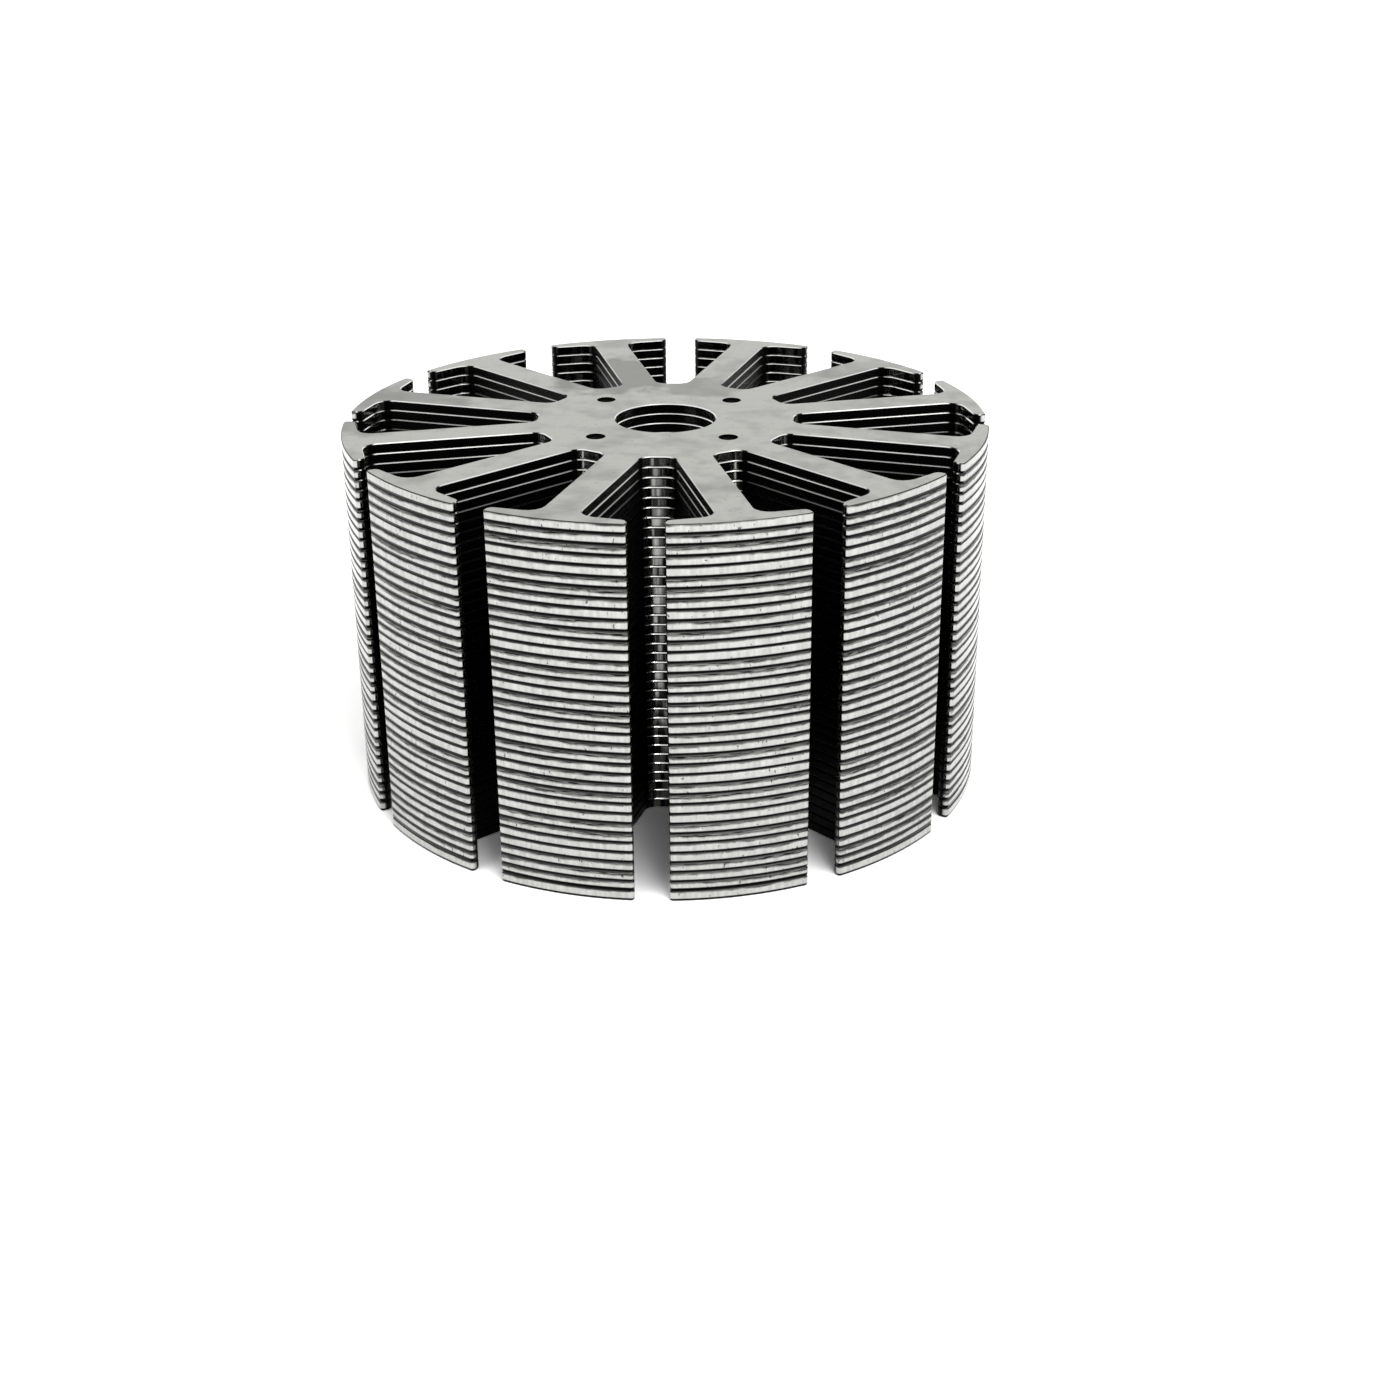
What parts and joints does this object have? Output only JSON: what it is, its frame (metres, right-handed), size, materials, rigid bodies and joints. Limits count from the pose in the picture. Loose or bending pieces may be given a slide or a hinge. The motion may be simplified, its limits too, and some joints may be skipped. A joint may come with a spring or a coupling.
{
  "type": "stator lamination stack",
  "caption": "Cylindrical stack of thin punched steel sheets with T-shaped teeth, open winding slots and a central shaft bore.",
  "frame": {"origin": "centre of the underside, on the bore's axis", "axes": "+Z along the bore, up through the stack; a slot is centred on +X"},
  "size_m": [0.032, 0.032, 0.0185],
  "materials": {
    "electrical_steel": "satin"
  },
  "bodies": {
    "root": {"lamination_01": "electrical_steel", "laminations_02_04": "electrical_steel", "laminations_05_07": "electrical_steel", "laminations_08_10": "electrical_steel", "laminations_11_13": "electrical_steel", "laminations_14_16": "electrical_steel", "laminations_17_19": "electrical_steel", "laminations_20_22": "electrical_steel", "laminations_23_25": "electrical_steel", "laminations_26_28": "electrical_steel", "laminations_29_31": "electrical_steel", "laminations_32_34": "electrical_steel", "laminations_35_37": "electrical_steel"}
  },
  "joints": []
}
